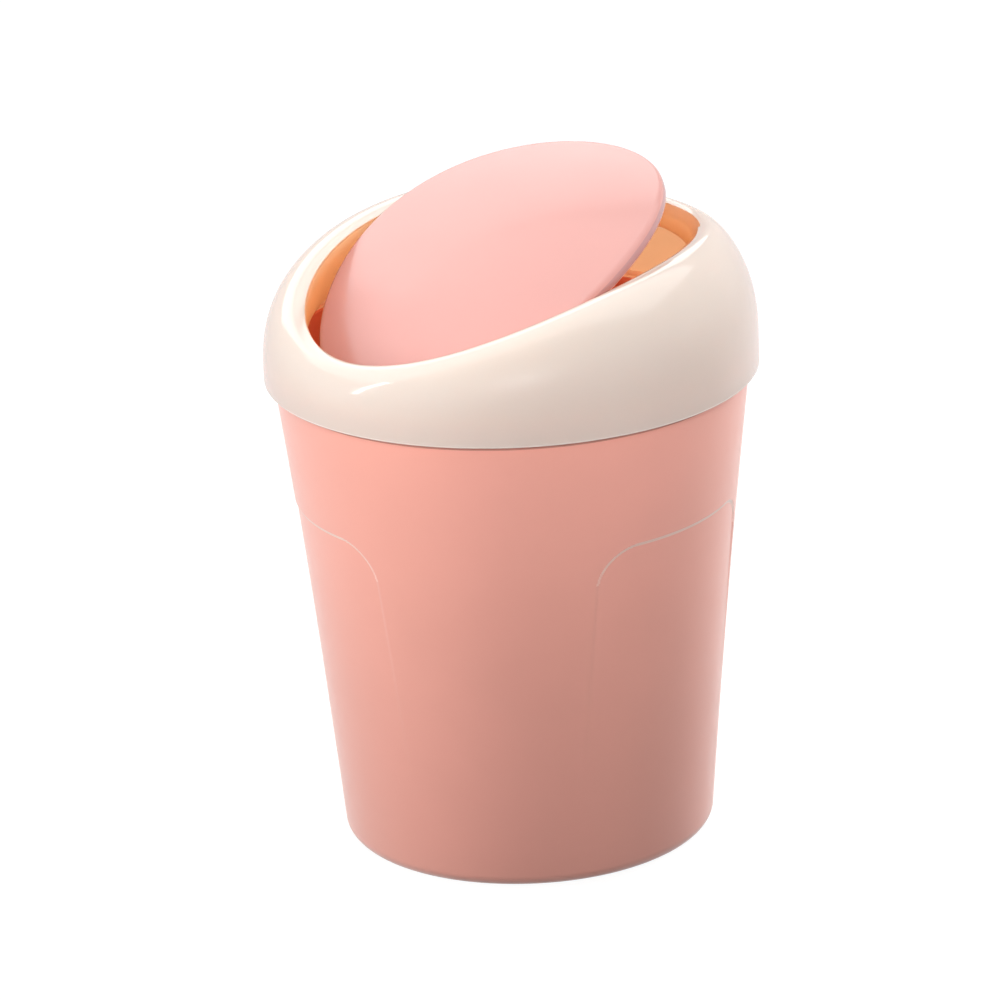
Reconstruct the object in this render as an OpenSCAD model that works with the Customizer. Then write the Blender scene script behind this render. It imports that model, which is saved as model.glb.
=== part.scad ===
// Countertop trash can with a swing lid, in millimetres.
// Origin at the centre of the base, +Z up, the low front of the lid towards -Y,
// the flap's hinge along X.

/* [Bucket] */
// radius of the bucket's wall carried down to the table
base_r = 50.9; // [42:0.1:61]
// height of the bucket's rim
bucket_h = 138.7; // [115:0.1:170]
// wall thickness of the bucket
bucket_wall = 1.5; // [1.2:0.1:2]
// thickness of the bucket's floor
floor_t = 2.0; // [1.5:0.1:3]
// share of the wall's flare that comes late, towards the rim
wall_bow = 0.195; // [0:0.005:0.3]
// rounding of the base edge
base_round = 4.0; // [2:0.5:5]
// radius of the shallow recess under the base
base_recess_r = 43.0; // [35:0.5:43]
// depth of the recess under the base
base_recess_depth = 1.0; // [0.5:0.1:1.2]

/* [Panels] */
// number of recessed panels round the wall
panel_count = 3; // [2:1:4]
// angle of the first panel from the front, towards +X
panel_angle = 100; // [0:1:119]
// width of a panel
panel_w = 60.6; // [40:0.2:70]
// height of a panel's top edge above the table
panel_top = 98.8; // [80:0.2:110]
// radius of a panel's top corners
panel_corner_r = 11.4; // [6:0.2:16]
// depth of a panel at its top edge
panel_depth = 0.45; // [0.2:0.05:0.6]
// height where a panel runs out into the wall
panel_fade = 27; // [15:1:40]

/* [Lid ring] */
// outer radius of the ring
ring_r = 67.4; // [64:0.2:81]
// wall thickness of the ring
ring_wall = 1.5; // [1.2:0.1:2]
// height of the opening's edge above the bucket's rim at the arch's highest point
lid_rise = 29.4; // [26:0.1:34]
// how far the ring's skirt reaches down over the rim
lid_overlap = 6.5; // [4:0.5:10]
// gap between the rim and the ring's wall, and between the rim and the seat
lid_gap = 0.3; // [0.25:0.05:0.6]
// height and depth of the bead inside the ring that rests on the rim
seat = 1.5; // [1:0.1:1.6]
// half the opening's width across the bin
open_x = 48.2; // [42:0.1:50]
// half the opening's length, front to back
open_y = 55.2; // [48:0.1:56]
// place of the opening's centre, front to back
open_cy = -3.0; // [-6:0.5:0]
// radius of the arch that the opening's edge follows, seen from the side
arch_r = 158.1; // [140:0.1:200]
// place of the arch's highest point, front to back
arch_y = 20.55; // [10:0.05:30]
// rounding of the opening's edge
edge_round = 0.5; // [0.3:0.1:0.8]
// slope at which the top rises outward from the opening's edge at the front
slope_front = 0.36; // [0.2:0.02:0.5]
// slope at which the top rises outward from the opening's edge at the back
slope_back = 1.5; // [0.6:0.05:2]
// share of the drop to the skirt that the shoulder takes
shoulder_share = 0.8; // [0.6:0.01:0.85]
// fullness of the shoulder's curve
shoulder_full = 2.4; // [1.8:0.05:2.8]
// depth of the collar's lower edge at the bin's middle below the opening's highest edge
collar_drop = 14.8; // [13:0.1:18]
// rise of the collar's lower edge towards the back, per mm
collar_slope = 0.139; // [0.1:0.005:0.16]

/* [Swing flap] */
// gap between the closed flap and the collar at the sides
flap_gap_x = 1.5; // [1.4:0.1:2]
// gap between the closed flap and the collar at the front
flap_gap_front = 0.6; // [0.5:0.1:1.6]
// gap between the closed flap and the collar at the back
flap_gap_back = 2.2; // [1.2:0.1:2.6]
// thickness of the flap
flap_t = 1.5; // [1.2:0.1:2]
// how far the closed flap's edge lies below the opening's edge at the bin's middle
flap_drop = 0.1; // [0:0.1:1]
// radius of the arch that the flap's edge follows, flatter than the opening's
flap_arch_r = 186; // [160:1:200]
// height of the flap's edge, rounding and skirt together
flap_edge = 3.5; // [3:0.1:4.5]
// rounding of the flap's edge
flap_round = 1.8; // [1:0.1:2.2]
// rise of the flap's middle above its edge
flap_crown = 2.5; // [1:0.1:5]
// swing of the flap as drawn, in degrees from closed
flap_open = 20; // [0:0.5:65]

/* [Hinge] */
// place of the hinge axis, front to back
hinge_y = -8.0; // [-10:0.5:-6]
// depth of the hinge axis below the opening's edge beside it
hinge_depth = 10.4; // [9.5:0.1:11]
// radius of the hinge pins
pin_r = 2.0; // [1.5:0.1:2.2]
// running clearance round a pin
pin_clear = 0.05; // [0.01:0.01:0.1]
// length of a pin from the flap's ear
pin_len = 6.7; // [5.5:0.1:6.9]
// radius of the ears that carry the pins
ear_r = 3.6; // [3:0.1:4]
// thickness of the ears
ear_t = 2.0; // [1.5:0.1:3]
// gap between the ears' outer faces and the flap's rim
ear_inset = 1.3; // [1.3:0.1:3]
// radius of the bosses on the collar
boss_r = 4.3; // [3.5:0.1:4.5]
// reach of the bosses outward from the collar's inner face
boss_len = 4.6; // [3:0.1:5]
// half the width of the rest ledge under the flap's back edge
ledge_half = 4; // [3:0.5:12]
// reach of the rest ledge under the flap
ledge_in = 1.4; // [1:0.1:2]
// thickness of the rest ledge
ledge_t = 1.8; // [1.2:0.1:2.5]

/* [Hidden] */
$fn = 96;
rim_r = ring_r - ring_wall - lid_gap;
skirt_z = bucket_h - lid_overlap;
arch_z = bucket_h + lid_rise;
seat_z = bucket_h + lid_gap;
flap_x = open_x - flap_gap_x;
flap_y = open_y - (flap_gap_front + flap_gap_back) / 2;
flap_cy = open_cy + (flap_gap_front - flap_gap_back) / 2;
hinge_z = edge_z(hinge_y) - hinge_depth;
// the drop at which shoulder_share holds exactly
ref_drop = 30;
// steps round the ring and the flap
ring_steps = 120;
flap_steps = 96;
// steps along one section
edge_steps = 3;
shoulder_steps = 13;
under_steps = 9;
round_steps = 4;
crown_steps = 7;
wall_steps = 14;
overlap = 0.4;

// outer radius of the bucket's wall at height z
function wall_r(z) =
    base_r + (rim_r - base_r) * ((1 - wall_bow) * z / bucket_h + wall_bow * pow(z / bucket_h, 2));

// height of the opening's edge at y
function edge_z(y) = arch_z - pow(y - arch_y, 2) / (2 * arch_r);

// height of the collar's lower edge at y, never above the edge itself
function collar_low(y) = min(arch_z - collar_drop + collar_slope * y, edge_z(y) - 1.5);

// quarter-round fall of a superellipse, 0 at v = 0 and 1 at v = 1
function fall(v) = 1 - pow(max(0, 1 - pow(v, shoulder_full)), 1 / shoulder_full);

// share of the width at which the fall has come to f
function fall_reach(f) = pow(1 - pow(1 - min(1, f), shoulder_full), 1 / shoulder_full);

// height of the shoulder for a given drop from the edge to the skirt
function shoulder_h(drop) = shoulder_share * drop * pow(drop / ref_drop, -0.25);

// slope of the top beside the opening's edge in the direction dir, growing towards the back
function top_slope(dir) = slope_front + (slope_back - slope_front) * pow((1 + sin(dir)) / 2, 2.9);

// radius and height on the ring's top, v = 0 at the opening's edge and v = 1 at the skirt's radius
function top_point(r0, z0, slope, h, v) =
    let (w = ring_r - r0)
    [r0 + w * v, z0 + slope * w * v * pow(1 - v, 2) - h * fall(v)];

// the point one wall below the ring's top, square to it
function under_point(r0, z0, slope, h, v) =
    let (
        along = top_point(r0, z0, slope, h, min(1, v + 0.002)) - top_point(r0, z0, slope, h, v - 0.002),
        inward = [along[1], -along[0]] / norm(along)
    )
    top_point(r0, z0, slope, h, v) + ring_wall * inward;

// one closed section of the ring at angle t of the opening: up the collar's inner face, over the
// edge and the shoulder, down the wall, and back up inside past the bead that rests on the rim
function ring_section(t) =
    let (
        x0 = open_x * cos(t),
        y0 = open_cy + open_y * sin(t),
        dir = atan2(y0, x0),
        r0 = norm([x0, y0]),
        z0 = edge_z(y0),
        low = collar_low(y0),
        h = shoulder_h(z0 - skirt_z),
        slope = top_slope(dir),
        w = ring_r - r0,
        wall_in = ring_r - ring_wall,
        bead_in = wall_in - seat,
        under_low = max(z0 - h, seat_z + 1.2 * seat),
        v_edge = edge_round / w,
        v_low = ring_wall * (1 - slope / norm([1, slope])) / w,
        v_high = fall_reach((z0 - under_low) / h),
        outline = concat(
            [[r0, low]],
            [for (i = [0:edge_steps - 1])
                let (a = 90 * i / edge_steps, p = top_point(r0, z0, slope, h, v_edge * (1 - cos(a))))
                [p[0], p[1] - edge_round * (1 - sin(a))]],
            [for (i = [0:shoulder_steps])
                top_point(r0, z0, slope, h, v_edge + (1 - v_edge) * sin(90 * i / shoulder_steps))],
            [[ring_r, skirt_z]],
            [[wall_in, skirt_z]],
            [[wall_in, seat_z]],
            [[bead_in, seat_z]],
            [[bead_in, seat_z + 0.4 * seat]],
            [[wall_in, seat_z + seat]],
            [for (i = [under_steps:-1:0])
                let (p = under_point(r0, z0, slope, h, v_low + (v_high - v_low) * sin(90 * i / under_steps)))
                [max(r0 + ring_wall, min(wall_in, p[0])), max(under_low, p[1])]],
            [[r0 + ring_wall, low]]
        )
    )
    [for (p = outline) [p[0] * cos(dir), p[0] * sin(dir), p[1]]];

// one open section of the flap at angle t, from the middle of its top, round its edge, to the
// middle of its underside
function flap_edge_z(y) = edge_z(0) - flap_drop + y * arch_y / arch_r - y * y / (2 * flap_arch_r);
function flap_surface_z(y, rho) = flap_edge_z(y) + flap_crown * (1 - rho * rho);
function flap_rim(t, inset) = [(flap_x - inset) * cos(t), flap_cy + (flap_y - inset) * sin(t)];
function flap_section(t) =
    let (
        rim = flap_rim(t, 0),
        inner = flap_rim(t, flap_round),
        under = flap_rim(t, flap_t),
        z_rim = flap_surface_z(rim[1], 1),
        r_out = [for (i = [1:crown_steps]) i / crown_steps]
    )
    concat(
        [for (f = r_out) let (p = [inner[0] * f, flap_cy + (inner[1] - flap_cy) * f])
            [p[0], p[1], flap_surface_z(p[1], f)]],
        [for (i = [1:round_steps])
            let (a = 90 * i / round_steps, p = flap_rim(t, flap_round * (1 - sin(a))))
            [p[0], p[1], flap_surface_z(p[1], 1) - flap_round * (1 - cos(a))]],
        [[rim[0], rim[1], z_rim - flap_edge]],
        [[under[0], under[1], flap_surface_z(under[1], 1) - flap_edge]],
        [for (i = [crown_steps:-1:1]) let (f = i / crown_steps,
            p = [under[0] * f, flap_cy + (under[1] - flap_cy) * f])
            [p[0], p[1], flap_surface_z(p[1], f) - flap_t]]
    );

// outline of the bucket's outside from the floor's middle to the rim, with its rounded base edge
function bucket_outside() = concat(
    [[0, 0], [wall_r(0) - base_round, 0]],
    [for (a = [15:15:75])
        [wall_r(base_round) - base_round + base_round * sin(a), base_round * (1 - cos(a))]],
    [for (i = [0:wall_steps])
        let (z = base_round + (bucket_h - 0.5 - base_round) * i / wall_steps) [wall_r(z), z]],
    [[rim_r - 0.3, bucket_h]]
);

// outline of the bucket's inside, from the rim down to the floor's middle
function bucket_inside() = concat(
    [[rim_r - bucket_wall + 0.3, bucket_h]],
    [for (i = [wall_steps:-1:0])
        let (z = base_round + floor_t + (bucket_h - 0.5 - base_round - floor_t) * i / wall_steps)
        [wall_r(z) - bucket_wall, z]],
    [for (a = [75:-15:0])
        [wall_r(base_round + floor_t) - bucket_wall - base_round + base_round * sin(a),
         floor_t + base_round * (1 - cos(a))]],
    [[0, floor_t]]
);

// outline of one panel, flat, standing on its lower end
module panel_outline() {
    half = panel_w / 2;
    low = panel_fade - 15;
    translate([-half, low]) square([panel_w, panel_top - panel_corner_r - low]);
    translate([-half + panel_corner_r, low]) square([panel_w - 2 * panel_corner_r, panel_top - low]);
    for (side = [-1, 1])
        translate([side * (half - panel_corner_r), panel_top - panel_corner_r]) circle(r = panel_corner_r);
}

// the wall's surface sunk to the panels' depth, as a solid of revolution; below the panels' lower
// end it stands outside the wall
function panel_r(z) = wall_r(z) - panel_depth * (z - panel_fade) / (panel_top - panel_fade);
module panel_core() {
    z0 = panel_fade - 20;
    z1 = panel_top + 6;
    steps = 10;
    rotate_extrude()
        polygon(concat(
            [[0, z0]],
            [for (i = [0:steps]) let (z = z0 + (z1 - z0) * i / steps) [panel_r(z), z]],
            [[0, z1]]
        ));
}

module panel_cutters() {
    reach = rim_r + 10;
    difference() {
        for (k = [0:panel_count - 1])
            rotate([0, 0, panel_angle + k * 360 / panel_count])
                rotate([90, 0, 0])
                    linear_extrude(height = reach) panel_outline();
        panel_core();
    }
}

module bucket() {
    color([0.93, 0.55, 0.50])
    difference() {
        rotate_extrude() polygon(concat(bucket_outside(), bucket_inside()));
        translate([0, 0, -base_recess_depth])
            cylinder(r = base_recess_r, h = 2 * base_recess_depth);
        panel_cutters();
    }
}

// closed tube of sections that runs round once
module swept_ring(points, steps, len) {
    polyhedron(
        points = points,
        faces = [for (i = [0:steps - 1]) for (j = [0:len - 1])
            for (f = [0, 1])
                let (
                    a = i * len + j,
                    b = i * len + (j + 1) % len,
                    c = ((i + 1) % steps) * len + (j + 1) % len,
                    d = ((i + 1) % steps) * len + j
                )
                f == 0 ? [a, c, b] : [a, d, c]
        ],
        convexity = 10
    );
}

module ring_shell() {
    sections = [for (i = [0:ring_steps - 1]) ring_section(360 * i / ring_steps)];
    swept_ring([for (s = sections) each s], ring_steps, len(sections[0]));
}

module along_x(x, y, z, r, h) {
    translate([x, y, z]) rotate([0, 90, 0]) cylinder(r = r, h = h);
}

module hinge_bosses() {
    for (side = [0, 1]) mirror([side, 0, 0])
        along_x(open_x + overlap, hinge_y, hinge_z, boss_r, boss_len - overlap);
}

module hinge_holes() {
    for (side = [0, 1]) mirror([side, 0, 0])
        along_x(open_x - 2, hinge_y, hinge_z, pin_r + pin_clear, boss_len + 4);
}

// small ledge at the back of the collar that the closed flap's edge comes down on
module rest_ledge() {
    back = open_cy + open_y;
    reach = flap_gap_back + ledge_in;
    top = flap_edge_z(back - flap_gap_back) - flap_edge - lid_gap;
    translate([-ledge_half, back - reach, top - ledge_t])
        cube([2 * ledge_half, reach + ring_wall - overlap, ledge_t]);
    translate([-ledge_half, back + overlap, top - ledge_t])
        cube([2 * ledge_half, ring_wall - 2 * overlap, ledge_t + 3]);
}

module lid_ring() {
    color([0.93, 0.91, 0.86])
    difference() {
        union() {
            ring_shell();
            hinge_bosses();
            rest_ledge();
        }
        hinge_holes();
    }
}

module flap_shell() {
    sections = [for (i = [0:flap_steps - 1]) flap_section(360 * i / flap_steps)];
    n = len(sections[0]);
    mid_top = flap_steps * n;
    mid_low = mid_top + 1;
    polyhedron(
        points = concat(
            [for (s = sections) each s],
            [[0, flap_cy, flap_surface_z(flap_cy, 0)]],
            [[0, flap_cy, flap_surface_z(flap_cy, 0) - flap_t]]
        ),
        faces = concat(
            [for (i = [0:flap_steps - 1]) for (j = [0:n - 2]) for (f = [0, 1])
                let (
                    a = i * n + j,
                    b = a + 1,
                    d = ((i + 1) % flap_steps) * n + j,
                    c = d + 1
                )
                f == 0 ? [a, c, b] : [a, d, c]
            ],
            [for (i = [0:flap_steps - 1]) [mid_top, ((i + 1) % flap_steps) * n, i * n]],
            [for (i = [0:flap_steps - 1]) [mid_low, i * n + n - 1, ((i + 1) % flap_steps) * n + n - 1]]
        ),
        convexity = 10
    );
}

module flap_ears() {
    outer = flap_x - ear_inset;
    ear_top = flap_edge_z(hinge_y) - 0.75 * flap_t;
    for (side = [0, 1]) mirror([side, 0, 0]) {
        along_x(outer - ear_t, hinge_y, hinge_z, ear_r, ear_t);
        translate([outer - ear_t, hinge_y - ear_r, hinge_z])
            cube([ear_t, 2 * ear_r, ear_top - hinge_z]);
        along_x(outer - overlap, hinge_y, hinge_z, pin_r, pin_len + overlap);
    }
}

module swing_flap() {
    color([0.95, 0.62, 0.58])
    translate([0, hinge_y, hinge_z]) rotate([flap_open, 0, 0]) translate([0, -hinge_y, -hinge_z])
    union() {
        flap_shell();
        flap_ears();
    }
}

bucket();
lid_ring();
swing_flap();
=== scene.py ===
import math

import bpy
import numpy as np
from mathutils import Matrix, Vector


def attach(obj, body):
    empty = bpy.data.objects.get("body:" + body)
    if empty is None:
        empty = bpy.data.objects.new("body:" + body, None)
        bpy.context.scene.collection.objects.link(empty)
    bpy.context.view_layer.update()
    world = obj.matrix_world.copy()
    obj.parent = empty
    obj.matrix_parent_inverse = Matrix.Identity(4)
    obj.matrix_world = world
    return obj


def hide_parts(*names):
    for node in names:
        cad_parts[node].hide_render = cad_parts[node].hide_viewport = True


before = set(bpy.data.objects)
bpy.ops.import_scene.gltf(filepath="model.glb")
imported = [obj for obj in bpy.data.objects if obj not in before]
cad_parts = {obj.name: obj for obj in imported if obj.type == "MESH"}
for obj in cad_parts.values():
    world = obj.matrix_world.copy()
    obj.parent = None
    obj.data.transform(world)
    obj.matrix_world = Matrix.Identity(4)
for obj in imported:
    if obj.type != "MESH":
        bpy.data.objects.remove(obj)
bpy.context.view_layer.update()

# Bucket
# One thin-walled round tub, injection moulded in pink polypropylene. It widens upward, and three
# shallow panels are sunk in its wall, sharp at their top edge and fading out towards the base.
MM = 0.001
BUCKET_H = 138.7
BASE_R = 50.9
RIM_R = 65.6
WALL = 1.5
FLOOR_T = 2.0
WALL_BOW = 0.195
BASE_ROUND = 4.0
RIM_ROUND = 0.6
RIM_CROWN = 0.58
RIM_INSET = 0.05
RECESS_R = 43.0
RECESS_DEPTH = 1.0
PANEL_ANGLES = (100.0, 220.0, 340.0)
PANEL_HALF = 30.3
PANEL_TOP = 98.8
PANEL_CORNER = 11.4
PANEL_DEPTH = 0.45
PANEL_FADE = 27.0
PANEL_LIP = 1.1
PANEL_MIDDLE = 17.6
PANEL_REACH = 31.0
CORNERS_FROM = 84.0
CORNERS_TO = 99.6
COARSE_ACROSS = 2.2
COARSE_UP = 2.0
FINE_STEP = 0.25
RIB_STEPS = 22
EDGE_TURN = 0.965
EDGES_FROM = 88.5
EDGES_ABOVE = 1.2
INSIDE_FROM = 1.5
# Heights of the thin band just under the ring's lip that carries a painted shadow line.
SHADOW_LINE_LOW = 130.8
SHADOW_LINE_HIGH = 131.5


def wall_r(z):
    share = z / BUCKET_H
    return BASE_R + (RIM_R - BASE_R) * ((1 - WALL_BOW) * share + WALL_BOW * share * share)


def smooth(t):
    t = np.clip(t, 0.0, 1.0)
    return t * t * (3 - 2 * t)


def panel_sink(x, z):
    """How far the wall is sunk at x across a panel and height z."""
    qx = np.abs(x) - (PANEL_HALF - PANEL_CORNER)
    qz = z - (PANEL_TOP - PANEL_CORNER)
    outside = np.hypot(np.maximum(qx, 0), np.maximum(qz, 0)) + np.minimum(np.maximum(qx, qz), 0)
    inward = PANEL_CORNER - outside
    depth = PANEL_DEPTH * np.clip((z - PANEL_FADE) / (PANEL_TOP - PANEL_FADE), 0, 1)
    return depth * smooth(inward / PANEL_LIP)


def mesh_object(name, points, faces):
    mesh = bpy.data.meshes.new(name)
    mesh.from_pydata([tuple(p) for p in np.asarray(points) * MM], [], faces)
    mesh.validate()
    mesh.polygons.foreach_set("use_smooth", [True] * len(mesh.polygons))
    obj = bpy.data.objects.new(name, mesh)
    bpy.context.scene.collection.objects.link(obj)
    return obj


def grid_faces(columns, rows, closed_rows=False):
    """Quads of a grid whose columns run round once; its rows close on themselves if asked."""
    faces = []
    for i in range(columns):
        n = (i + 1) % columns
        for j in range(rows if closed_rows else rows - 1):
            m = (j + 1) % rows
            faces.append((i * rows + j, n * rows + j, n * rows + m, i * rows + m))
    return faces


def bucket_profile():
    """Radius, height and whether the panels shape the row, from the base's middle to the floor's."""
    rows = [(3.0, 0.7, 0), (3.6, 1.0, 0), (12.0, 1.0, 0), (30.0, 1.0, 0), (RECESS_R - 0.5, RECESS_DEPTH, 0)]
    rows += [(RECESS_R - 0.1, RECESS_DEPTH - 0.1, 0), (RECESS_R, RECESS_DEPTH - 0.4, 0)]
    rows += [(RECESS_R, 0.3, 0), (RECESS_R + 0.1, 0.08, 0), (RECESS_R + 0.4, 0.0, 0)]
    rows += [(wall_r(0) - BASE_ROUND - 0.4, 0.0, 0)]
    for angle in range(0, 90, 9):
        a = math.radians(angle)
        r = wall_r(BASE_ROUND) - BASE_ROUND * (1 - math.sin(a))
        rows.append((r, BASE_ROUND * (1 - math.cos(a)), 0))
    heights = list(np.arange(BASE_ROUND, CORNERS_FROM, COARSE_UP))
    heights += list(np.arange(CORNERS_FROM, CORNERS_TO, FINE_STEP))
    heights += list(np.arange(CORNERS_TO, SHADOW_LINE_LOW - 1.0, COARSE_UP))
    # Rows at the edges of the painted shadow line under the ring's lip.
    heights += [SHADOW_LINE_LOW, SHADOW_LINE_HIGH, BUCKET_H - RIM_ROUND]
    rows += [(wall_r(z), z, 1) for z in heights]
    for angle in (30, 60, 90, 120, 150):
        a = math.radians(angle)
        half = WALL / 2
        z = BUCKET_H - RIM_ROUND + RIM_CROWN * math.sin(a)
        rows.append((RIM_R - RIM_INSET - half + half * math.cos(a), z, 0))
    low = FLOOR_T + BASE_ROUND
    rows += [(wall_r(z) - WALL, z, 0) for z in np.linspace(BUCKET_H - RIM_ROUND, low, 40)]
    for angle in range(81, -1, -9):
        a = math.radians(angle)
        r = wall_r(low) - WALL - BASE_ROUND * (1 - math.sin(a))
        rows.append((r, FLOOR_T + BASE_ROUND * (1 - math.cos(a)), 0))
    return rows + [(30.0, FLOOR_T, 0), (10.0, FLOOR_T, 0)]


def bucket_mesh():
    """The profile turned round the axis, in fine columns at the panels' upright edges."""
    profile = bucket_profile()
    middle = list(np.arange(-PANEL_MIDDLE, PANEL_MIDDLE + 0.1, COARSE_ACROSS))
    edge = list(np.arange(PANEL_MIDDLE + FINE_STEP, PANEL_REACH, FINE_STEP))
    across = [-x for x in reversed(edge)] + middle + edge
    columns = []
    for angle in PANEL_ANGLES:
        here = math.radians(angle)
        there = here + 2 * math.pi / len(PANEL_ANGLES)
        for x in across:
            columns.append((here, x, None))
        for i in range(1, RIB_STEPS):
            columns.append((here, None, (i / RIB_STEPS, there)))
    points = []
    for here, x, rib in columns:
        for r, z, shaped in profile:
            r_ref = wall_r(z)
            if rib is None:
                turn = here + math.asin(x / r_ref)
            else:
                half = math.asin(across[-1] / r_ref)
                turn = here + half + rib[0] * (rib[1] - here - 2 * half)
            if shaped and x is not None:
                r = r - float(panel_sink(x, z))
            points.append((r * math.sin(turn), -r * math.cos(turn), z))
    rows = len(profile)
    faces = grid_faces(len(columns), rows)
    points.append((0, 0, 0.7))
    points.append((0, 0, FLOOR_T))
    low, high = len(points) - 2, len(points) - 1
    for i in range(len(columns)):
        n = (i + 1) % len(columns)
        faces.append((low, n * rows, i * rows))
        faces.append((high, i * rows + rows - 1, n * rows + rows - 1))
    return points, faces


def plastic(name, colour, roughness, through_colour, through, speck_level, shine=0.3):
    """Moulded plastic that lets some light through, with drift in colour and gloss and rare specks."""
    material = bpy.data.materials.new(name)
    material.use_nodes = True
    tree = material.node_tree
    shader = tree.nodes["Principled BSDF"]
    nodes, links = tree.nodes, tree.links

    def node(kind, **settings):
        made = nodes.new(kind)
        for key, value in settings.items():
            if hasattr(made, key):
                setattr(made, key, value)
            else:
                made.inputs[key].default_value = value
        return made

    place = node("ShaderNodeTexCoord").outputs["Object"]
    drift = node("ShaderNodeTexNoise", Scale=22.0, Detail=3.0)
    links.new(place, drift.inputs["Vector"])
    tone = node("ShaderNodeMapRange")
    tone.inputs["From Min"].default_value = 0.3
    tone.inputs["From Max"].default_value = 0.7
    tone.inputs["To Min"].default_value = 0.975
    tone.inputs["To Max"].default_value = 1.025
    links.new(drift.outputs["Fac"], tone.inputs["Value"])
    tinted = node("ShaderNodeVectorMath", operation="SCALE")
    tinted.inputs[0].default_value = colour
    links.new(tone.outputs["Result"], tinted.inputs["Scale"])

    cells = node("ShaderNodeTexVoronoi", Scale=42.0)
    links.new(place, cells.inputs["Vector"])
    near = node("ShaderNodeMath", operation="LESS_THAN")
    near.inputs[1].default_value = 0.012
    links.new(cells.outputs["Distance"], near.inputs[0])
    rare = node("ShaderNodeMath", operation="GREATER_THAN")
    rare.inputs[1].default_value = speck_level
    split = node("ShaderNodeSeparateColor")
    links.new(cells.outputs["Color"], split.inputs["Color"])
    links.new(split.outputs["Red"], rare.inputs[0])
    speck = node("ShaderNodeMath", operation="MULTIPLY")
    links.new(near.outputs[0], speck.inputs[0])
    links.new(rare.outputs[0], speck.inputs[1])
    body = node("ShaderNodeMix", data_type="RGBA")
    links.new(speck.outputs[0], body.inputs[0])
    links.new(tinted.outputs[0], body.inputs[6])
    body.inputs[7].default_value = (0.12, 0.06, 0.04, 1.0)
    links.new(body.outputs[2], shader.inputs["Base Color"])

    haze = node("ShaderNodeTexNoise", Scale=160.0, Detail=5.0, Roughness=0.65)
    links.new(place, haze.inputs["Vector"])
    gloss = node("ShaderNodeMapRange")
    gloss.inputs["From Min"].default_value = 0.3
    gloss.inputs["From Max"].default_value = 0.7
    gloss.inputs["To Min"].default_value = roughness - 0.035
    gloss.inputs["To Max"].default_value = roughness + 0.045
    links.new(haze.outputs["Fac"], gloss.inputs["Value"])
    links.new(gloss.outputs["Result"], shader.inputs["Roughness"])

    ripple = node("ShaderNodeTexNoise", Scale=70.0, Detail=2.0)
    links.new(place, ripple.inputs["Vector"])
    grain = node("ShaderNodeTexNoise", Scale=1400.0, Detail=2.0)
    links.new(place, grain.inputs["Vector"])
    skin = node("ShaderNodeMath", operation="MULTIPLY_ADD")
    skin.inputs[1].default_value = 0.04
    links.new(grain.outputs["Fac"], skin.inputs[0])
    links.new(ripple.outputs["Fac"], skin.inputs[2])
    bump = node("ShaderNodeBump", Strength=0.35, Distance=0.00012)
    links.new(skin.outputs[0], bump.inputs["Height"])
    links.new(bump.outputs["Normal"], shader.inputs["Normal"])

    shader.inputs["IOR"].default_value = 1.49
    shader.inputs["Coat Weight"].default_value = shine
    shader.inputs["Coat Roughness"].default_value = 0.06
    shine_through = node("ShaderNodeBsdfTranslucent")
    shine_through.inputs["Color"].default_value = (*through_colour, 1.0)
    blend = node("ShaderNodeMixShader")
    blend.inputs[0].default_value = through
    links.new(shader.outputs["BSDF"], blend.inputs[1])
    links.new(shine_through.outputs["BSDF"], blend.inputs[2])
    links.new(blend.outputs["Shader"], nodes["Material Output"].inputs["Surface"])
    return material


bucket_pink = plastic("bucket_pink", (0.91, 0.405, 0.325), 0.33, (0.95, 0.45, 0.30), 0.04, 0.998)
# Painted shade: the inside and floor get a deeper, redder copy of the pink, standing in for the dimmer,
# reddened light in there.
bucket_inside = plastic("bucket_inside", (0.94, 0.23, 0.11), 0.36, (1.0, 0.40, 0.25), 0.25, 0.998)
# Painted highlights: lighter copies of the pink on the panels' upper edges and their down-facing ledges,
# standing in for the light line along them.
bucket_edge_highlight = plastic("bucket_edge_highlight", (1.0, 0.58, 0.49), 0.33, (0.95, 0.45, 0.30), 0.04, 0.999)
bucket_ledge_highlight = plastic("bucket_ledge_highlight", (1.0, 0.68, 0.58), 0.33, (0.95, 0.45, 0.30), 0.04, 0.999)
# Painted shadow: a darker copy of the pink for the thin band just under the ring's lip.
bucket_painted_shadow = plastic("bucket_painted_shadow", (0.60, 0.25, 0.20), 0.42, (0.95, 0.45, 0.30), 0.04, 0.999)


def paint_faces(obj, looks, pick):
    """Give each face the look that pick(radius, height, outward, upward) names by its place in the list."""
    obj.data.materials.clear()
    for look in looks:
        obj.data.materials.append(look)
    for face in obj.data.polygons:
        x, y, z = face.center
        r = math.hypot(x, y)
        outward = (face.normal.x * x + face.normal.y * y) / max(r, 1e-6)
        face.material_index = pick(r / MM, z / MM, outward, face.normal.z)


def bucket_look(r, z, outward, upward):
    """The inside and floor in a deeper painted shade, painted highlights on the panel edges, and a painted
    shadow line under the ring's lip.
    """
    # Inside and floor faces take the painted shade.
    if z > INSIDE_FROM and r < RIM_R - 1 and (outward < -0.3 or upward > 0.5):
        return 1
    # Painted highlight: the panels' upper edges, with their down-facing ledges in the lighter copy.
    if EDGES_FROM < z < PANEL_TOP + EDGES_ABOVE and outward < EDGE_TURN:
        return 3 if upward < -0.3 else 2
    # Painted shadow line just under the ring's lip.
    if SHADOW_LINE_LOW < z < SHADOW_LINE_HIGH:
        return 4
    return 0


points, faces = bucket_mesh()
bucket = mesh_object("bucket_moulding", points, faces)
paint_faces(bucket, [bucket_pink, bucket_inside, bucket_edge_highlight, bucket_ledge_highlight, bucket_painted_shadow], bucket_look)
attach(bucket, "bucket")
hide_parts("bucket")

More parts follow.
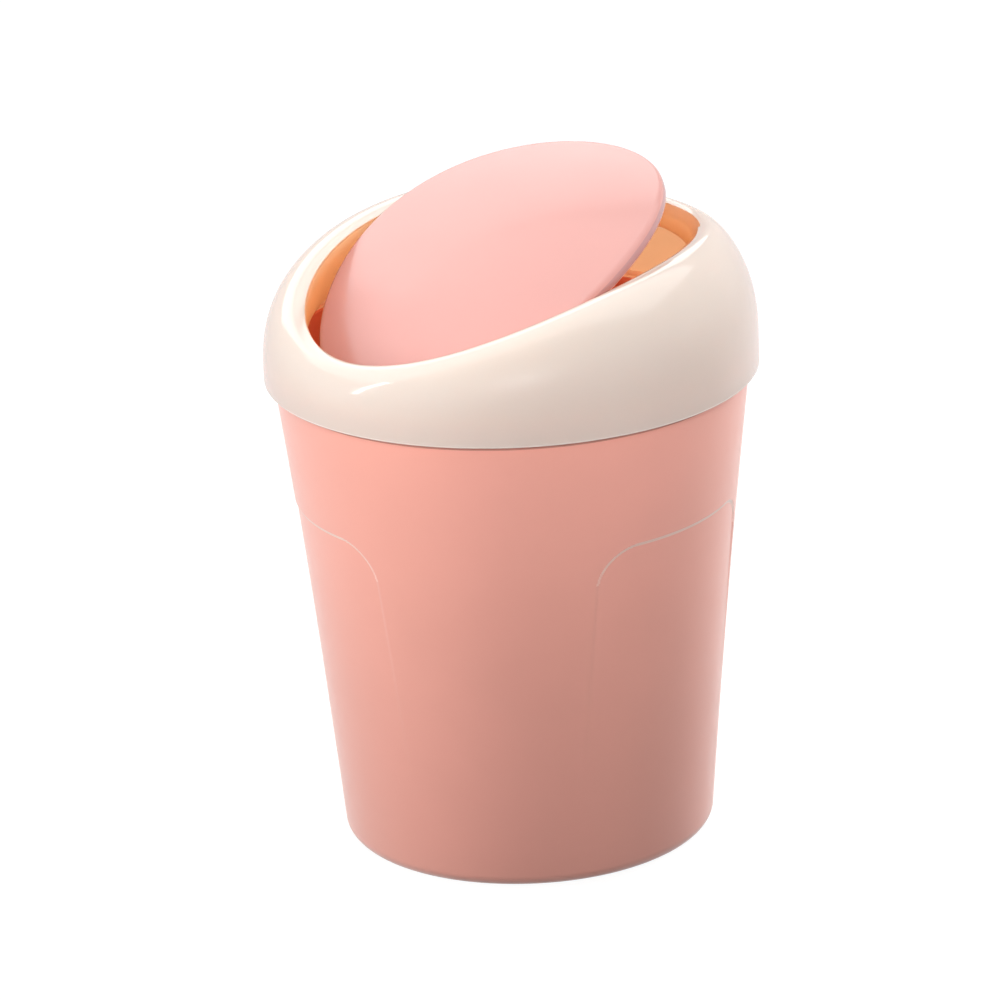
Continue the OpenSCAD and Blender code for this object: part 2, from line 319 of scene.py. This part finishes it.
# Lid ring
# One glossy ivory moulding that sits over the bucket's rim: a domed ring with an oval opening whose
# edge arches from a low front to a high back, a collar hanging from that edge, and two hinge bosses.
RING_R = 67.4
RING_WALL = 1.5
SKIRT_Z = 132.2
LIP = 0.6
ARCH_Z = 168.1
SEAT_Z = 139.0
SEAT = 1.5
OPEN_X = 48.2
OPEN_Y = 55.2
OPEN_CY = -3.0
ARCH_R = 158.1
ARCH_Y = 20.55
EDGE_ROUND = 0.5
SLOPE_FRONT = 0.36
SLOPE_BACK = 1.5
SLOPE_GROWTH = 2.9
SHOULDER_SHARE = 0.8
SHOULDER_FULL = 2.4
COLLAR_DROP = 14.8
COLLAR_SLOPE = 0.139
HINGE_Y = -8.0
HINGE_DEPTH = 10.4
BOSS_R = 4.3
BOSS_REACH = 4.6
PIN_R = 2.0
PIN_CLEAR = 0.05
LEDGE_HALF = 4.0
LEDGE_IN = 1.4
LEDGE_T = 1.8
FLAP_GAP_FRONT = 0.6
FLAP_GAP_BACK = 2.2
FLAP_DROP = 0.12
FLAP_ARCH_R = 186.0
FLAP_EDGE = 3.5
RING_COLUMNS = 360
SHELL_DEPTH = 3.5
CRISP_ANGLE = 40


def edge_z(y):
    return ARCH_Z - (y - ARCH_Y) ** 2 / (2 * ARCH_R)


def flap_edge_z(y):
    return edge_z(0) - FLAP_DROP + y * ARCH_Y / ARCH_R - y * y / (2 * FLAP_ARCH_R)


HINGE_Z = edge_z(HINGE_Y) - HINGE_DEPTH


def fall(v):
    return 1 - max(0.0, 1 - v**SHOULDER_FULL) ** (1 / SHOULDER_FULL)


def fall_reach(share):
    return (1 - (1 - min(1.0, share)) ** SHOULDER_FULL) ** (1 / SHOULDER_FULL)


def ring_section(t):
    """One closed section: up the collar, over the edge and shoulder, down the wall, back up inside."""
    x0, y0 = OPEN_X * math.cos(t), OPEN_CY + OPEN_Y * math.sin(t)
    r0 = math.hypot(x0, y0)
    c, s = x0 / r0, y0 / r0
    width = RING_R - r0
    z0 = edge_z(y0)
    low = min(ARCH_Z - COLLAR_DROP + COLLAR_SLOPE * y0, z0 - RING_WALL)
    drop = z0 - SKIRT_Z
    h = SHOULDER_SHARE * drop * (drop / 30.0) ** -0.25
    slope = SLOPE_FRONT + (SLOPE_BACK - SLOPE_FRONT) * ((1 + s) / 2) ** SLOPE_GROWTH
    inner = RING_R - RING_WALL
    under_low = max(z0 - h, SEAT_Z + 1.2 * SEAT)

    def top(v):
        return r0 + width * v, z0 + slope * width * v * (1 - v) ** 2 - h * fall(v)

    def under(v):
        """The point one wall below the top, square to it."""
        ra, za = top(v - 0.002)
        rb, zb = top(min(1.0, v + 0.002))
        along = math.hypot(rb - ra, zb - za)
        r, z = top(v)
        r = min(inner, max(r0 + RING_WALL, r + RING_WALL * (zb - za) / along))
        return r, max(under_low, z - RING_WALL * (rb - ra) / along)

    section = [(r0 + 0.25, low + 0.06), (r0, low + 0.35)]
    section += [(r0, low + (z0 - low) * k) for k in (0.4, 0.7)]
    v_edge = EDGE_ROUND / width
    for angle in range(0, 90, 15):
        a = math.radians(angle)
        r, z = top(v_edge * (1 - math.cos(a)))
        section.append((r, z - EDGE_ROUND * (1 - math.sin(a))))
    section += [top(v_edge + (1 - v_edge) * math.sin(math.radians(90 * i / 40))) for i in range(41)]
    bottom = z0 - h
    section += [(RING_R, bottom + (SKIRT_Z + LIP - bottom) * k) for k in (0.33, 0.66, 1.0)]
    section += [(RING_R - 0.08, SKIRT_Z + 0.25), (RING_R - 0.25, SKIRT_Z + 0.07)]
    section += [(RING_R - 0.5, SKIRT_Z), (inner + 0.4, SKIRT_Z), (inner + 0.1, SKIRT_Z + 0.1)]
    section += [(inner, SKIRT_Z + 0.4), (inner, SEAT_Z - 0.2), (inner - 0.2, SEAT_Z)]
    section += [(inner - SEAT + 0.2, SEAT_Z), (inner - SEAT, SEAT_Z + 0.2)]
    section += [(inner - SEAT, SEAT_Z + 0.4 * SEAT), (inner, SEAT_Z + SEAT)]
    v_low = RING_WALL * (1 - slope / math.hypot(1, slope)) / width
    v_high = fall_reach((z0 - under_low) / h)
    for i in range(20, -1, -1):
        section.append(under(v_low + (v_high - v_low) * math.sin(math.radians(90 * i / 20))))
    roof = section[-1][1]
    section += [(r0 + RING_WALL, low + (roof - low) * k) for k in (0.7, 0.4)]
    section += [(r0 + RING_WALL, low + 0.35), (r0 + RING_WALL - 0.25, low + 0.06)]
    section.append((r0 + RING_WALL / 2, low))
    return [(r * c, r * s, z) for r, z in section]


def drum(name, x0, x1, y, z, r, steps=48, rim=0.0):
    """A round bar along X, its ends eased by rim."""
    stations = [(x0, r - rim), (x0 + rim, r), (x1 - rim, r), (x1, r - rim)] if rim else [(x0, r), (x1, r)]
    points = []
    for i in range(steps):
        a = 2 * math.pi * i / steps
        points += [(x, y + q * math.cos(a), z + q * math.sin(a)) for x, q in stations]
    rows = len(stations)
    faces = grid_faces(steps, rows)
    faces.append(tuple(i * rows for i in range(steps - 1, -1, -1)))
    faces.append(tuple(i * rows + rows - 1 for i in range(steps)))
    return mesh_object(name, points, [tuple(reversed(f)) for f in faces])


def block(name, low, high):
    (xa, ya, za), (xb, yb, zb) = low, high
    points = [(x, y, z) for x in (xa, xb) for y in (ya, yb) for z in (za, zb)]
    faces = [(0, 1, 3, 2), (4, 6, 7, 5), (0, 4, 5, 1), (2, 3, 7, 6), (0, 2, 6, 4), (1, 5, 7, 3)]
    return mesh_object(name, points, faces)


def combine(obj, others, operation):
    """Fuse or cut the others with obj, and drop them."""
    for other in others:
        change = obj.modifiers.new(operation.lower(), "BOOLEAN")
        change.operation = operation
        change.solver = "EXACT"
        change.object = other
    bpy.context.view_layer.update()
    made = bpy.data.meshes.new_from_object(obj.evaluated_get(bpy.context.evaluated_depsgraph_get()))
    obj.modifiers.clear()
    obj.data = made
    for other in others:
        bpy.data.objects.remove(other)


def keep_edges(obj):
    """Smooth shading that stays crisp where faces meet at more than CRISP_ANGLE degrees."""
    obj.data.polygons.foreach_set("use_smooth", [True] * len(obj.data.polygons))
    obj.data.set_sharp_from_angle(angle=math.radians(CRISP_ANGLE))


sections = [ring_section(2 * math.pi * i / RING_COLUMNS) for i in range(RING_COLUMNS)]
rows = len(sections[0])
points = [p for s in sections for p in s]
ring = mesh_object("lid_ring_moulding", points, grid_faces(RING_COLUMNS, rows, True))
bosses = []
for side in (-1, 1):
    ends = sorted((side * (OPEN_X + 0.4), side * (OPEN_X + BOSS_REACH)))
    bosses.append(drum("boss", ends[0], ends[1], HINGE_Y, HINGE_Z, BOSS_R, rim=0.3))
ledge_y = OPEN_CY + OPEN_Y
ledge_reach = FLAP_GAP_BACK + LEDGE_IN
ledge_top = flap_edge_z(ledge_y - FLAP_GAP_BACK) - FLAP_EDGE - 0.3
ledge = block(
    "ledge",
    (-LEDGE_HALF, ledge_y - ledge_reach, ledge_top - LEDGE_T),
    (LEDGE_HALF, ledge_y + RING_WALL - 0.4, ledge_top),
)
tab = block(
    "tab",
    (-LEDGE_HALF, ledge_y + 0.4, ledge_top - LEDGE_T),
    (LEDGE_HALF, ledge_y + RING_WALL - 0.4, ledge_top + 3.0),
)
combine(ledge, [tab], "UNION")
combine(ring, bosses + [ledge], "UNION")
holes = []
for side in (-1, 1):
    ends = sorted((side * (OPEN_X - 2), side * (OPEN_X + BOSS_REACH + 2)))
    holes.append(drum("hole", ends[0], ends[1], HINGE_Y, HINGE_Z, PIN_R + PIN_CLEAR))
combine(ring, holes, "DIFFERENCE")
keep_edges(ring)


def ring_look(r, z, outward, upward):
    """The lower lip in a painted highlight, the inside of the outer wall and the rest of the inside in a
    painted orange glow, else the outside.
    """
    # Painted highlight on the ring's lowest lip.
    if z < SKIRT_Z + LIP and r > RING_R - LIP:
        return 2
    # Inside faces take the painted orange glow.
    collar_side = abs(upward) < 0.2 and r < RING_R - 2.5
    if outward < -0.5 or collar_side or (upward < -0.3 and z > SKIRT_Z + 0.7):
        return 3 if r > RING_R - SHELL_DEPTH else 1
    return 0


ring_ivory = plastic("ring_ivory", (0.72, 0.68, 0.615), 0.15, (0.95, 0.82, 0.68), 0.25, 0.999, shine=1.0)
# Painted highlight: a lighter copy of the ivory for the ring's lowest edge, standing in for the bright line
# of light along it.
ring_lip_highlight = plastic("ring_lip_highlight", (1.0, 0.96, 0.90), 0.15, (0.95, 0.82, 0.68), 0.25, 0.999, shine=1.0)
# Painted glow: orange copies of the ivory on the inside of the outer wall and the rest of the inside,
# standing in for warm light shining through the thin walls and bounced off the pink.
ring_shell = plastic("ring_shell", (1.0, 0.64, 0.40), 0.30, (1.0, 0.68, 0.42), 0.9, 0.999)
ring_inside_glow = plastic("ring_inside_glow", (1.0, 0.71, 0.47), 0.30, (1.0, 0.79, 0.58), 0.9, 0.999)
paint_faces(ring, [ring_ivory, ring_inside_glow, ring_lip_highlight, ring_shell], ring_look)
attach(ring, "lid")
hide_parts("lid_ring")

# Swing flap
# One pink domed oval plate with a short turned-down edge, moulded with two ears underneath. Each ear
# carries a round pin that snaps into a boss of the ring's collar, and the flap swings on the two.
FLAP_GAP_X = 1.5
FLAP_X = OPEN_X - FLAP_GAP_X
FLAP_Y = OPEN_Y - (FLAP_GAP_FRONT + FLAP_GAP_BACK) / 2
FLAP_CY = OPEN_CY + (FLAP_GAP_FRONT - FLAP_GAP_BACK) / 2
FLAP_T = 1.5
FLAP_ROUND = 1.8
FLAP_CROWN = 2.5
FLAP_OPEN = 20.0
PIN_LEN = 6.7
EAR_R = 3.6
EAR_T = 2.0
EAR_INSET = 1.3
FLAP_COLUMNS = 240


def flap_z(y, rho):
    return flap_edge_z(y) + FLAP_CROWN * (1 - rho * rho)


def flap_rim(t, inset):
    return (FLAP_X - inset) * math.cos(t), FLAP_CY + (FLAP_Y - inset) * math.sin(t)


def flap_section(t):
    """From near the middle of the top, round the edge, to near the middle of the underside."""
    section = []
    xi, yi = flap_rim(t, FLAP_ROUND)
    for k in list(np.linspace(0.04, 1.0, 26)):
        y = FLAP_CY + (yi - FLAP_CY) * k
        section.append((xi * k, y, flap_z(y, k)))
    for i in range(1, 11):
        a = math.radians(9 * i)
        x, y = flap_rim(t, FLAP_ROUND * (1 - math.sin(a)))
        section.append((x, y, flap_z(y, 1) - FLAP_ROUND * (1 - math.cos(a))))
    outer = [(0, 0.35), (0.1, 0.08), (0.35, 0)]
    for inset, rise in outer + [(FLAP_T - inset, rise) for inset, rise in reversed(outer)]:
        x, y = flap_rim(t, inset)
        section.append((x, y, flap_z(y, 1) - FLAP_EDGE + rise))
    xu, yu = flap_rim(t, FLAP_T)
    for k in list(np.linspace(1.0, 0.04, 20)):
        y = FLAP_CY + (yu - FLAP_CY) * k
        section.append((xu * k, y, flap_z(y, k) - FLAP_T))
    return section


sections = [flap_section(2 * math.pi * i / FLAP_COLUMNS) for i in range(FLAP_COLUMNS)]
rows = len(sections[0])
points = [p for s in sections for p in s]
faces = [tuple(reversed(f)) for f in grid_faces(FLAP_COLUMNS, rows)]
points.append((0, FLAP_CY, flap_z(FLAP_CY, 0)))
points.append((0, FLAP_CY, flap_z(FLAP_CY, 0) - FLAP_T))
for i in range(FLAP_COLUMNS):
    n = (i + 1) % FLAP_COLUMNS
    faces.append((len(points) - 2, i * rows, n * rows))
    faces.append((len(points) - 1, n * rows + rows - 1, i * rows + rows - 1))
flap = mesh_object("swing_flap_moulding", points, [tuple(reversed(f)) for f in faces])
fittings = []
ear_x = FLAP_X - EAR_INSET
ear_top = flap_edge_z(HINGE_Y) - 0.75 * FLAP_T
for side in (-1, 1):
    ends = sorted((side * (ear_x - EAR_T), side * ear_x))
    ear = drum("ear", ends[0], ends[1], HINGE_Y, HINGE_Z, EAR_R)
    web = block("web", (ends[0], HINGE_Y - EAR_R, HINGE_Z), (ends[1], HINGE_Y + EAR_R, ear_top))
    tips = sorted((side * (ear_x - 0.4), side * (ear_x + PIN_LEN)))
    pin = drum("pin", tips[0], tips[1], HINGE_Y, HINGE_Z, PIN_R, rim=0.3)
    combine(ear, [web, pin], "UNION")
    fittings.append(ear)
combine(flap, fittings, "UNION")
keep_edges(flap)


def flap_look(r, z, outward, upward):
    """The turned-down edge in a painted shade, the underside with its ears in a lighter painted copy, else
    the top.
    """
    # The turned-down edge takes the painted shade.
    if outward > EDGE_TURN:
        return 2
    # The underside and ears take the lighter painted copy.
    return 1 if upward < -0.3 else 0


flap_pink = plastic("flap_pink", (0.61, 0.31, 0.28), 0.21, (1.0, 0.55, 0.45), 0.15, 0.999, shine=0.15)
# Painted light: a lighter copy of the flap's pink for the underside and ears, which brightens the inside of
# the can.
flap_under_lit = plastic("flap_under_lit", (0.95, 0.55, 0.45), 0.33, (1.0, 0.60, 0.48), 0.5, 0.999)
# Painted shade: a darker, greyer copy of the flap's pink on its turned-down edge, standing in for the shade
# on that band.
flap_edge = plastic("flap_edge", (0.46, 0.25, 0.25), 0.21, (1.0, 0.55, 0.45), 0.15, 0.999, shine=0.15)
paint_faces(flap, [flap_pink, flap_under_lit, flap_edge], flap_look)
swing = Matrix.Translation((0, HINGE_Y * MM, HINGE_Z * MM))
flap.data.transform(swing @ Matrix.Rotation(math.radians(FLAP_OPEN), 4, "X") @ swing.inverted())
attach(flap, "flap")
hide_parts("swing_flap")

# Surroundings
# A plain floor and surround that look white. A broad ceiling panel and a lamp behind give the ring and
# the flap their soft highlights, a narrow strip on the left the small one, and five lamps shape the body.


def seen_directly(tree):
    """One for rays from the camera or off a glossy surface, which see the white surround, else zero."""
    rays = tree.nodes.new("ShaderNodeLightPath")
    either = tree.nodes.new("ShaderNodeMath")
    either.operation = "MAXIMUM"
    tree.links.new(rays.outputs["Is Camera Ray"], either.inputs[0])
    tree.links.new(rays.outputs["Is Glossy Ray"], either.inputs[1])
    any_of_three = tree.nodes.new("ShaderNodeMath")
    any_of_three.operation = "MAXIMUM"
    tree.links.new(either.outputs[0], any_of_three.inputs[0])
    tree.links.new(rays.outputs["Is Transmission Ray"], any_of_three.inputs[1])
    return any_of_three.outputs[0]


floor_mesh = bpy.data.meshes.new("floor")
floor_mesh.from_pydata([(-6, -6, 0), (6, -6, 0), (6, 6, 0), (-6, 6, 0)], [], [(0, 1, 2, 3)])
floor = bpy.data.objects.new("floor", floor_mesh)
bpy.context.scene.collection.objects.link(floor)
floor_paint = bpy.data.materials.new("floor_paint")
floor_paint.use_nodes = True
tree = floor_paint.node_tree
matte = tree.nodes["Principled BSDF"]
matte.inputs["Base Color"].default_value = (0.14, 0.14, 0.14, 1)
matte.inputs["Roughness"].default_value = 0.9
matte.inputs["Specular IOR Level"].default_value = 0.1
white = tree.nodes.new("ShaderNodeEmission")
white.inputs["Color"].default_value = (1, 1, 1, 1)
white.inputs["Strength"].default_value = 0.93
lifted = tree.nodes.new("ShaderNodeAddShader")
pick = tree.nodes.new("ShaderNodeMixShader")
tree.links.new(seen_directly(tree), pick.inputs[0])
tree.links.new(matte.outputs[0], lifted.inputs[0])
tree.links.new(white.outputs[0], lifted.inputs[1])
tree.links.new(matte.outputs[0], pick.inputs[1])
tree.links.new(lifted.outputs[0], pick.inputs[2])
tree.links.new(pick.outputs[0], tree.nodes["Material Output"].inputs["Surface"])
floor.data.materials.append(floor_paint)

world = bpy.data.worlds.new("surround")
bpy.context.scene.world = world
world.use_nodes = True
tree = world.node_tree
air = tree.nodes["Background"]
level = tree.nodes.new("ShaderNodeMapRange")
level.inputs["To Min"].default_value = 0.04
level.inputs["To Max"].default_value = 1.0
tree.links.new(seen_directly(tree), level.inputs["Value"])
tree.links.new(level.outputs["Result"], air.inputs["Strength"])
air.inputs["Color"].default_value = (1, 1, 1, 1)

VIEW_TURN = math.radians(50)


def lamp(name, place, size, power, spread=180, aim_z=0.1, mirrored=False, level=False):
    """A rectangular lamp aimed at the can's axis at aim_z, or straight down when level."""
    data = bpy.data.lights.new(name, "AREA")
    data.shape = "RECTANGLE"
    data.size, data.size_y = size
    data.energy = power
    data.spread = math.radians(spread)
    obj = bpy.data.objects.new(name, data)
    obj.visible_glossy = mirrored
    bpy.context.scene.collection.objects.link(obj)
    aim = (Vector((0, 0, aim_z)) - Vector(place)).to_track_quat("-Z", "Y")
    turn = Matrix.Rotation(VIEW_TURN, 4, "Z") if level else aim.to_matrix().to_4x4()
    obj.matrix_world = Matrix.Translation(place) @ turn


def seen_from_camera(right, forward, up):
    """A place given across, away from and above the object as the camera sees it."""
    c, s = math.cos(VIEW_TURN), math.sin(VIEW_TURN)
    return (right * c - forward * s, right * s + forward * c, up)


lamp("front", seen_from_camera(0.0, -0.95, 0.62), (0.6, 0.35), 1.75, spread=50, aim_z=0.40)
lamp("front_left", seen_from_camera(-0.60, -0.75, 0.50), (0.6, 0.6), 0.42, spread=60, aim_z=0.34)
lamp("left", seen_from_camera(-0.95, 0.0, 0.40), (0.5, 0.6), 1.00, spread=60, aim_z=0.29)
lamp("strip", seen_from_camera(-1.06, -0.20, 0.67), (0.06, 0.5), 0.9, mirrored=True)
lamp("right", seen_from_camera(0.95, 0.0, 0.40), (0.5, 0.3), 0.60, spread=60, aim_z=0.40)
lamp("back_right", seen_from_camera(0.75, 0.65, 0.40), (0.4, 0.6), 2.10, spread=80, aim_z=0.24)
lamp("overhead", seen_from_camera(-0.30, 1.15, 0.88), (1.4, 0.6), 4.6, mirrored=True)
lamp("ceiling_panel", seen_from_camera(-0.20, 0.26, 0.95), (2.0, 0.92), 7.4, mirrored=True, level=True)

# Camera
# A long lens looks slightly down on the can from its front right, where the photograph was taken,
# and leans a little, as the photographed can does.
CAMERA_OUT = 1.5471
CAMERA_UP = 0.6516
CAMERA_YAW = -0.00303
CAMERA_PITCH = 0.3460
CAMERA_ROLL = -0.04264
SENSOR_WIDTH = 36.0
LENS_PER_SENSOR = 5.999
camera = bpy.data.objects.new("camera", bpy.data.cameras.new("camera"))
camera.data.sensor_width = SENSOR_WIDTH
camera.data.lens = SENSOR_WIDTH * LENS_PER_SENSOR
camera.data.clip_end = 100
bpy.context.scene.collection.objects.link(camera)
camera.matrix_world = (
    Matrix.Translation(seen_from_camera(0, -CAMERA_OUT, CAMERA_UP))
    @ Matrix.Rotation(VIEW_TURN - CAMERA_YAW, 4, "Z")
    @ Matrix.Rotation(math.pi / 2 - CAMERA_PITCH, 4, "X")
    @ Matrix.Rotation(CAMERA_ROLL, 4, "Z")
)
bpy.context.scene.camera = camera
bpy.context.scene.view_settings.view_transform = "Standard"
